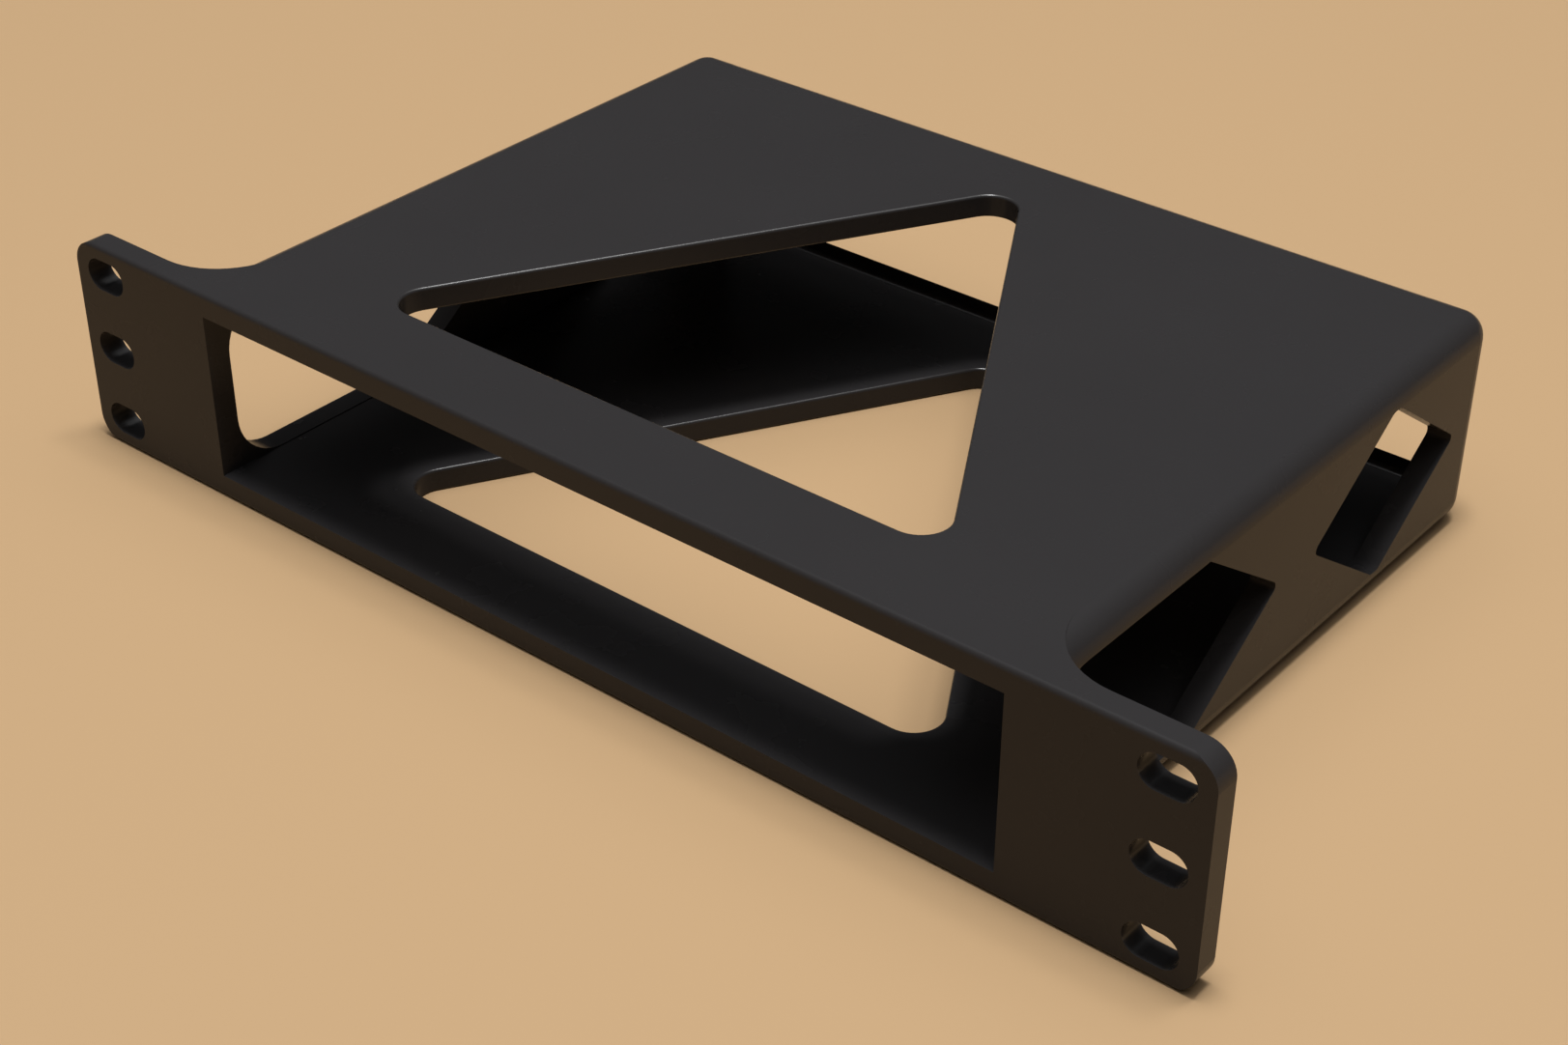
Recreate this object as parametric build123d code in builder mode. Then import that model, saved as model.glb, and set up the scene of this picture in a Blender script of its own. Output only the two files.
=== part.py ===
from build123d import *
import math
import os

# A one-unit bracket for a ten-inch rack, made in one piece: a slotted front plate
# and, behind it, a box that a flat device slides into from the front.
# X runs across the rack, Y from the front face to the rear and Z up. The origin is
# the middle of the front face, and of the rack slots. All sizes are in millimetres.

# Front plate
plate_width = 254.0
plate_height = 44.0
plate_thickness = 5.0
ear_corner_radius = 5.2
front_edge_radius = 1.0

# Box behind the plate, and the bay in it that is open at the front
bay_width = 180.6
wall_thickness = 4.8
box_depth = 146.5
box_edge_radius = 5.0

# Rim round the rear opening, which stops the device
stop_thickness = 2.1
stop_reach = 3.6
stop_root_radius = 1.2
stop_bevel = 2.0

# Hollow corners, in plan, between the ears and the box
gusset_radius = 15.0

# Rack slots, three in each ear
slot_from_edge = 8.3
slot_rows_apart = 15.875
slot_rows = 3
slot_length = 10.2
slot_width = 6.6

# Equal-sided triangle through the top and the bottom, with its point to the rear
triangle_front = 19.3
triangle_from_back = 13.9
triangle_corner_radius = 5.5
triangle_edge_radius = 0.6

# Windows in the side walls, nearly as tall as the bay. The long one starts at the ear's
# back and ends in a point; the rear one is a diamond with a short flat above and below.
window_sill = 0.2
window_slope = 35.0
window_tip_radius = 1.3
long_window_from_diamond = 37.0
long_window_corner_radius = 10.0
diamond_from_back = 35.6
diamond_flat = 2.4
diamond_shoulder_radius = 2.5

# Sizes that follow
half_width = plate_width / 2
half_height = plate_height / 2
box_width = bay_width + 2 * wall_thickness
bay_height = plate_height - 2 * wall_thickness
bay_depth = box_depth - stop_thickness
gusset_reach = bay_width / 2 + gusset_radius
slot_columns_apart = plate_width - 2 * slot_from_edge
triangle_height = box_depth - triangle_front - triangle_from_back
triangle_side = triangle_height * 2 / math.sqrt(3)
window_top = bay_height / 2 - window_sill
window_point = window_top / math.tan(math.radians(window_slope))
diamond_middle = box_depth - diamond_from_back
long_window_tip = diamond_middle - long_window_from_diamond
long_window_shoulder = long_window_tip - window_point
diamond_front = diamond_middle - diamond_flat / 2
diamond_rear = diamond_middle + diamond_flat / 2

# Upright sketches on this plane look along +Y, so a positive extrusion runs rearwards.
# In sketches on Plane.YZ the first axis runs to the rear and the second one up.
front_plane = Plane(origin=(0, 0, 0), x_dir=(1, 0, 0), z_dir=(0, 1, 0))

os.makedirs("parts", exist_ok=True)

# Front plate: rounded along the top and the bottom of its face, but sharp at the sides
with BuildPart() as front_plate:
    with BuildSketch(Plane.YZ) as plate_section:
        Rectangle(plate_thickness, plate_height, align=(Align.MIN, Align.CENTER))
        fillet(plate_section.vertices().group_by(Axis.X)[0], front_edge_radius)
    extrude(amount=half_width, both=True)
    with BuildSketch(front_plane):
        RectangleRounded(plate_width, plate_height, ear_corner_radius)
    extrude(amount=plate_thickness, mode=Mode.INTERSECT)

with BuildPart() as panel:
    # Box, rounded along its four long edges and round the rear
    with BuildSketch(front_plane.offset(plate_thickness / 2)):
        Rectangle(box_width, plate_height)
    extrude(amount=box_depth - plate_thickness / 2)
    long_edges = panel.edges().filter_by(Axis.Y)
    rear_edges = panel.faces().sort_by(Axis.Y)[-1].edges()
    fillet(long_edges + rear_edges, box_edge_radius)

    # Gussets: what a quarter circle leaves between the ear's back and the box
    with BuildSketch(Plane.XY):
        with BuildLine():
            corner = (bay_width / 2, plate_thickness)
            ear_end = (gusset_reach, plate_thickness)
            wall_end = (bay_width / 2, plate_thickness + gusset_radius)
            Polyline(wall_end, corner, ear_end)
            RadiusArc(ear_end, wall_end, gusset_radius)
        make_face()
        mirror(about=Plane.YZ)
    extrude(amount=half_height, both=True)

    add(front_plate.part)

    # Rack slots
    with BuildSketch(front_plane):
        with GridLocations(slot_columns_apart, slot_rows_apart, 2, slot_rows):
            SlotOverall(slot_length, slot_width)
    extrude(amount=plate_thickness, mode=Mode.SUBTRACT)

    # Bay for the device, with a rounded root where it meets the stop rim
    with BuildSketch(front_plane):
        Rectangle(bay_width, bay_height)
    extrude(amount=bay_depth, mode=Mode.SUBTRACT)
    fillet(panel.faces(Select.LAST).sort_by(Axis.Y)[-1].edges(), stop_root_radius)

    # Rear opening, bevelled from behind so that the rim ends in a narrow edge
    with BuildSketch(front_plane):
        Rectangle(bay_width - 2 * stop_reach, bay_height - 2 * stop_reach)
    extrude(amount=box_depth, mode=Mode.SUBTRACT)
    chamfer(panel.faces().sort_by(Axis.Y)[-1].inner_wires()[0].edges(), stop_bevel)

    # Triangle through the top and the bottom, its rims eased
    with BuildSketch(Plane.XY) as triangle:
        with BuildLine():
            Polyline(
                (-triangle_side / 2, triangle_front),
                (triangle_side / 2, triangle_front),
                (0, triangle_front + triangle_height),
                close=True,
            )
        make_face()
        fillet(triangle.vertices(), triangle_corner_radius)
    extrude(amount=half_height, both=True, mode=Mode.SUBTRACT)
    fillet(panel.edges(Select.LAST).filter_by(Plane.XY), triangle_edge_radius)

    # Long window from the ear's back, through wall and gusset
    with BuildSketch(Plane.YZ) as long_window:
        with BuildLine():
            Polyline(
                (plate_thickness, -window_top),
                (long_window_shoulder, -window_top),
                (long_window_tip, 0),
                (long_window_shoulder, window_top),
                (plate_thickness, window_top),
                close=True,
            )
        make_face()
        fillet(long_window.vertices().group_by(Axis.X)[0], long_window_corner_radius)
        fillet(long_window.vertices().sort_by(Axis.X)[-1], window_tip_radius)
    extrude(amount=half_width, both=True, mode=Mode.SUBTRACT)

    # Diamond near the rear
    with BuildSketch(Plane.YZ) as diamond:
        with BuildLine():
            Polyline(
                (diamond_front - window_point, 0),
                (diamond_front, -window_top),
                (diamond_rear, -window_top),
                (diamond_rear + window_point, 0),
                (diamond_rear, window_top),
                (diamond_front, window_top),
                close=True,
            )
        make_face()
        corners = diamond.vertices().sort_by(Axis.X)
        fillet(corners[1:-1], diamond_shoulder_radius)
        tips = diamond.vertices().sort_by(Axis.X)
        fillet([tips[0], tips[-1]], window_tip_radius)
    extrude(amount=half_width, both=True, mode=Mode.SUBTRACT)

panel.part.label = "rack_panel"
export_step(panel.part, "parts/rack_panel.step")
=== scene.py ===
import bpy
import math
from mathutils import Matrix, Vector


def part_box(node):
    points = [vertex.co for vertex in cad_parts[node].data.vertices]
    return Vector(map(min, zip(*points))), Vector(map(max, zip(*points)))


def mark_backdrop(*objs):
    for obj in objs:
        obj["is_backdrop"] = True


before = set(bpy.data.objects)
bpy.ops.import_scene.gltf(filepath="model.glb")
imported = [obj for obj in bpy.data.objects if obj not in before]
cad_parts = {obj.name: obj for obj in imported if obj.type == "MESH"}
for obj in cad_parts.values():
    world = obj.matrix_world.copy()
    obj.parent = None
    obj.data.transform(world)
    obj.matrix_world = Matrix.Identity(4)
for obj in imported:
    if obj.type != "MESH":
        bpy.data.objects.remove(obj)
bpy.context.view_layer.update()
scene = bpy.context.scene
print("frame loaded:", sorted(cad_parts))


# A socket that takes part in sums: wire * 2 + 1 adds the Math nodes for it
class Wire:
    def __init__(self, sheet, socket):
        self.sheet = sheet
        self.socket = socket

    def sum(self, operation, first, second):
        return self.sheet.node("ShaderNodeMath", {"operation": operation}, {0: first, 1: second})

    def __add__(self, other):
        return self.sum("ADD", self, other)

    def __radd__(self, other):
        return self.sum("ADD", other, self)

    def __sub__(self, other):
        return self.sum("SUBTRACT", self, other)

    def __rsub__(self, other):
        return self.sum("SUBTRACT", other, self)

    def __mul__(self, other):
        return self.sum("MULTIPLY", self, other)

    def __rmul__(self, other):
        return self.sum("MULTIPLY", other, self)


# A node tree being written on: node() sets a node's settings, then its sockets' values or links
class Sheet:
    def __init__(self, owner):
        owner.use_nodes = True
        self.tree = owner.node_tree
        self.tree.nodes.clear()

    def node(self, kind, settings=None, sockets=None, out=0):
        made = self.tree.nodes.new(kind)
        for name, value in (settings or {}).items():
            setattr(made, name, value)
        for name, value in (sockets or {}).items():
            if isinstance(value, Wire):
                self.tree.links.new(value.socket, made.inputs[name])
            else:
                made.inputs[name].default_value = value
        return Wire(self, made.outputs[out]) if len(made.outputs) else None

    def coordinate(self, name):
        return self.node("ShaderNodeTexCoord", out=name)

    def noise(self, where, size, detail):
        return self.node("ShaderNodeTexNoise", None, {"Vector": where, "Scale": 1 / size, "Detail": detail})

    def along(self, vector, axis):
        return self.node("ShaderNodeSeparateXYZ", None, {0: vector}, out=axis)

    def absolute(self, value):
        return self.node("ShaderNodeMath", {"operation": "ABSOLUTE"}, {0: value})

    # 0 at the start and 1 at the end, eased between them
    def step(self, value, start, end):
        return self.node("ShaderNodeMapRange", {"interpolation_type": "SMOOTHSTEP"}, {
            "Value": value, "From Min": start, "From Max": end})

    # Of a Mix node's sockets, the colours are number 6 and 7, and number 2 among the outputs
    def blend(self, share, first, second):
        return self.node("ShaderNodeMix", {"data_type": "RGBA"}, {0: share, 6: first, 7: second}, out=2)


# Matt black plastic: even and fine-grained, a touch greyer in broad soft patches.
# All lengths are in metres.
plastic = {
    "dark": (0.0352, 0.0334, 0.0344, 1),
    "light": (0.0394, 0.0374, 0.0385, 1),
    "patchSize": 0.035,
    "roughness": 0.27,
    "roughnessSwing": 0.02,
    "smudgeSize": 0.012,
    "specular": 0.11,
    "rimGloss": 1.0,
    "slotGloss": 0.5,
    "rimRoughness": 0.23,
    "grainSize": 0.00028,
    "grainDepth": 0.000006,
    "waveSize": 0.006,
    "waveDepth": 0.000006,
    # Where the gloss of curved faces sets in: none at the first number, all of it at the second
    "flatLimit": (0.99, 0.93),          # upright part of the normal, which is 1 on the top and the bottom
    "wallLimit": (0.3, 0.5),            # the same, which is 0 on walls
    "slotsNear": (0.110, 0.111),        # out from the middle
    "slotsFar": (0.125, 0.1245),
    "slotsHigh": (0.020, 0.0195),       # up and down from the middle
    "triangleWide": (0.084, 0.083),     # out from the middle
    "triangleFront": (0.010, 0.011),    # back from the front face
}


def paintPlastic(material):
    sheet = Sheet(material)
    place = sheet.coordinate("Object")
    patches = sheet.noise(place, plastic["patchSize"], detail=3.0)
    smudges = sheet.noise(place, plastic["smudgeSize"], detail=4.0)
    grain = sheet.noise(place, plastic["grainSize"], detail=1.0)
    waves = sheet.noise(place, plastic["waveSize"], detail=2.0)
    height = grain * plastic["grainDepth"] + waves * plastic["waveDepth"]
    tilt = sheet.node("ShaderNodeBump", None, {"Height": height, "Strength": 1.0, "Distance": 1.0})
    # Noise runs from 0 to 1, so twice what it is past a half runs from -1 to 1
    roughness = plastic["roughness"] + (smudges - 0.5) * plastic["roughnessSwing"] * 2
    # Curved faces are glossier than the flats in the slots and round the triangle
    across, back, up = (sheet.along(place, axis) for axis in range(3))
    level = sheet.absolute(sheet.along(sheet.coordinate("Normal"), 2))
    curved = sheet.step(level, *plastic["flatLimit"]) * sheet.step(level, *plastic["wallLimit"])
    aside = sheet.absolute(across)
    columns = sheet.step(aside, *plastic["slotsNear"]) * sheet.step(aside, *plastic["slotsFar"])
    slots = columns * sheet.step(sheet.absolute(up), *plastic["slotsHigh"])
    triangle = sheet.step(aside, *plastic["triangleWide"]) * sheet.step(back, *plastic["triangleFront"])
    surface = sheet.node("ShaderNodeBsdfPrincipled", None, {
        "Base Color": sheet.blend(patches, plastic["dark"], plastic["light"]),
        "Roughness": roughness,
        "Specular IOR Level": plastic["specular"],
        "Coat Weight": curved * (slots * plastic["slotGloss"] + triangle * plastic["rimGloss"]),
        "Coat Roughness": plastic["rimRoughness"],
        "Normal": tilt,
    })
    sheet.node("ShaderNodeOutputMaterial", None, {"Surface": surface})
    return material


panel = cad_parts["rack_panel"]
blackPlastic = paintPlastic(bpy.data.materials.new("blackPlastic"))
for slot in panel.material_slots:
    slot.material = blackPlastic
print("panel: black plastic in", len(panel.material_slots), "slot")


# Pale floor: plain, and a little warm
floorLook = {
    "reach": 4.0,         # metres each way from the middle
    "colour": (0.61, 0.405, 0.22, 1),
    "roughness": 0.6,
    "specular": 0.2,
}


def makeFloor():
    reach = floorLook["reach"]
    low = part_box("rack_panel")[0].z
    mesh = bpy.data.meshes.new("floor")
    corners = [(-reach, -reach, low), (reach, -reach, low), (reach, reach, low), (-reach, reach, low)]
    mesh.from_pydata(corners, [], [(0, 1, 2, 3)])
    floor = bpy.data.objects.new("floor", mesh)
    scene.collection.objects.link(floor)
    paleFloor = bpy.data.materials.new("paleFloor")
    sheet = Sheet(paleFloor)
    surface = sheet.node("ShaderNodeBsdfPrincipled", None, {
        "Base Color": floorLook["colour"],
        "Roughness": floorLook["roughness"],
        "Specular IOR Level": floorLook["specular"],
    })
    sheet.node("ShaderNodeOutputMaterial", None, {"Surface": surface})
    mesh.materials.append(paleFloor)
    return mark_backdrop(floor)


makeFloor()
print("floor laid")


# Soft studio light: a room that is dim low down and bright above, and two small lamps
studio = {
    "low": (0.03, 0.03, 0.03, 1),
    "high": (1.00, 1.00, 1.00, 1),
    "rise": (0.70, 0.95),     # sines of the angles between which the room brightens
    "aim": (0, 0.07, 0),
    "overhead": {"place": (0.06, -0.02, 2.4), "size": 0.45, "watts": 34.0},
    "behind": {"place": (0.30, 0.42, 2.4), "size": 0.3, "watts": 8.5},
}


# Stands at the place and looks at the aim, turned about that line by the roll in degrees
def lookFrom(place, aim, roll=0.0):
    place = Vector(place)
    turn = (Vector(aim) - place).to_track_quat("-Z", "Y").to_matrix().to_4x4()
    return Matrix.Translation(place) @ turn @ Matrix.Rotation(math.radians(roll), 4, "Z")


def lightStudio():
    scene.world = bpy.data.worlds.new("studio")
    sheet = Sheet(scene.world)
    height = sheet.along(sheet.coordinate("Generated"), 2)     # of the direction that is looked in
    tone = sheet.blend(sheet.step(height, *studio["rise"]), studio["low"], studio["high"])
    room = sheet.node("ShaderNodeBackground", None, {"Color": tone, "Strength": 1.0})
    sheet.node("ShaderNodeOutputWorld", None, {"Surface": room})
    for name in ("overhead", "behind"):
        plan = studio[name]
        lamp = bpy.data.lights.new(name, "AREA")
        lamp.shape = "SQUARE"
        lamp.size = plan["size"]
        lamp.energy = plan["watts"]
        holder = bpy.data.objects.new(name, lamp)
        holder.matrix_world = lookFrom(plan["place"], studio["aim"])
        scene.collection.objects.link(holder)


lightStudio()
print("lamps placed")


# The photograph's view
view = {
    "eye": (0.26154, -0.25935, 0.24805),
    "aim": (0.01728, 0.03770, -0.002),
    "roll": 0.158,          # degrees
    "lens": 60.075,         # millimetres
    "sensor": 36,           # millimetres wide
    "near": 0.01,           # metres, like the next one
    "far": 20,
}


def placeCamera():
    camera = bpy.data.cameras.new("camera")
    camera.sensor_fit = "HORIZONTAL"
    camera.sensor_width = view["sensor"]
    camera.lens = view["lens"]
    camera.clip_start = view["near"]
    camera.clip_end = view["far"]
    holder = bpy.data.objects.new("camera", camera)
    holder.matrix_world = lookFrom(view["eye"], view["aim"], view["roll"])
    scene.collection.objects.link(holder)
    scene.camera = holder


placeCamera()
print("camera placed")

scene.view_settings.view_transform = "Standard"
